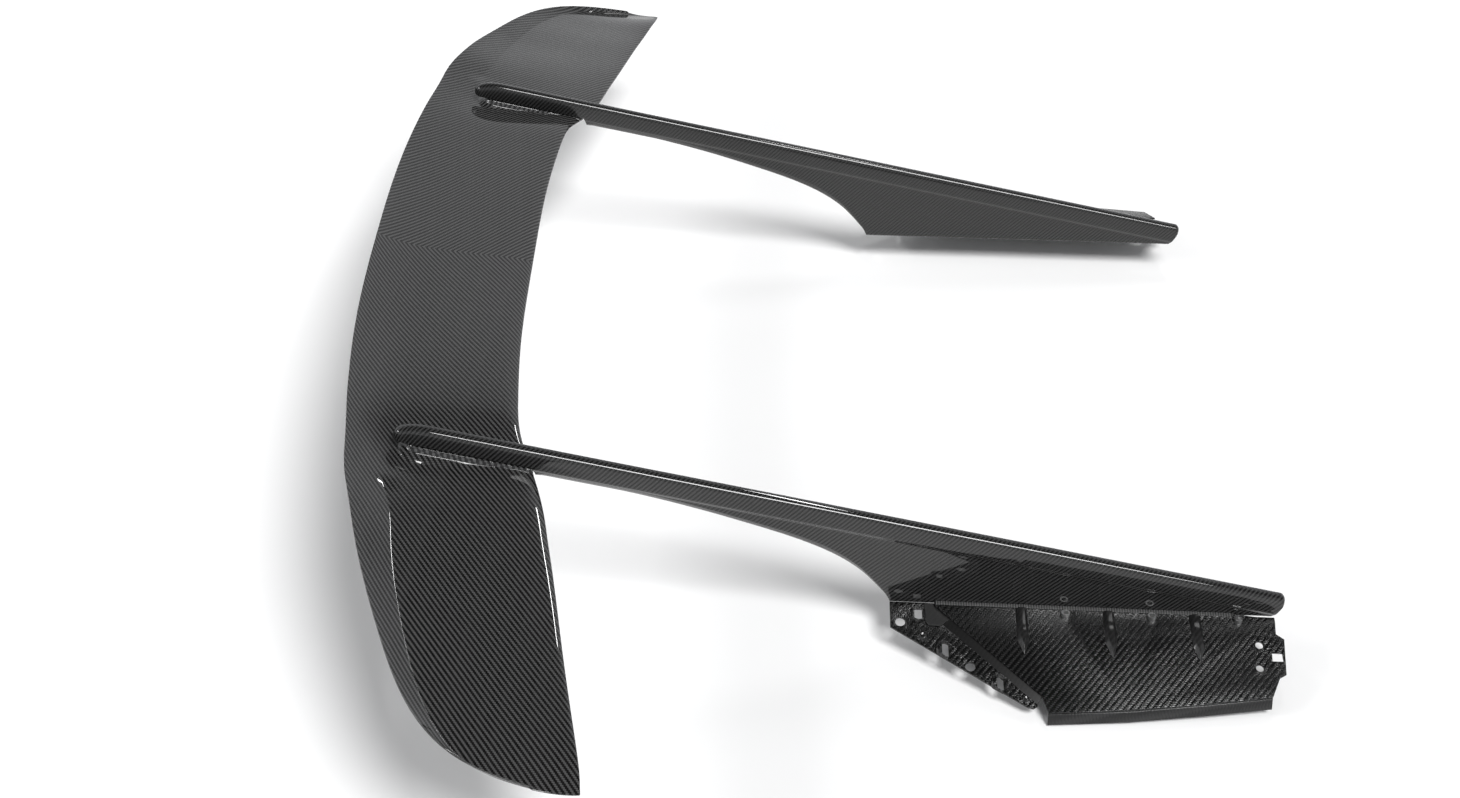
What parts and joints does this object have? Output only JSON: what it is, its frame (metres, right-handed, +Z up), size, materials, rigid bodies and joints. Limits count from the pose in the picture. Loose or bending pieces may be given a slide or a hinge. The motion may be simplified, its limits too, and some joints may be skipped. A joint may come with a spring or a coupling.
{
  "type": "racing rear wing",
  "caption": "Fixed rear wing: a shallow cambered carbon blade under long arms that flare into fins with bolted deck panels.",
  "frame": {"origin": "centre of the deck-bolt rectangle, level with the flat faces of the bushes", "axes": "+X to the car's left, +Y rearward, +Z up and along the deck bolts"},
  "size_m": [1.798, 1.2324, 0.3061],
  "materials": {
    "gloss_carbon": "woven carbon under polished clear lacquer",
    "raw_carbon": "bare woven carbon, bag side, rough and glinting",
    "foam": "closed-cell structural foam",
    "aluminium": "machined",
    "steel": "stainless",
    "gasket": "thin rubber sheet"
  },
  "bodies": {
    "root": {"blade_upper_skin": "gloss_carbon", "blade_lower_skin": "gloss_carbon", "blade_core_centre": "foam", "blade_core_right": "foam", "blade_core_left": "foam", "blade_spar": "raw_carbon", "blade_hardpoint_right": "aluminium", "blade_hardpoint_left": "aluminium", "arm_outboard_shell_right": "gloss_carbon", "arm_outboard_shell_left": "gloss_carbon", "arm_inboard_shell_right": "gloss_carbon", "arm_inboard_shell_left": "gloss_carbon", "arm_core_right": "foam", "arm_core_left": "foam", "arm_rail_right": "aluminium", "arm_rail_left": "aluminium", "fin_foot_bar_right": "aluminium", "fin_foot_bar_left": "aluminium", "arm_seat_right": "gasket", "arm_seat_left": "gasket", "arm_bolts_right": "steel", "arm_bolts_left": "steel", "arm_bolt_washers_right": "steel", "arm_bolt_washers_left": "steel", "deck_panel_right": "raw_carbon", "deck_panel_left": "raw_carbon", "panel_lip_right": "raw_carbon", "panel_lip_left": "raw_carbon", "panel_ribs_right": "raw_carbon", "panel_ribs_left": "raw_carbon", "deck_bushes_right": "steel", "deck_bushes_left": "steel", "root_strip_right": "raw_carbon", "root_strip_left": "raw_carbon", "rear_flange_right": "raw_carbon", "rear_flange_left": "raw_carbon", "step_wall_right": "raw_carbon", "step_wall_left": "raw_carbon", "front_bracket_right": "raw_carbon", "front_bracket_left": "raw_carbon"}
  },
  "joints": []
}
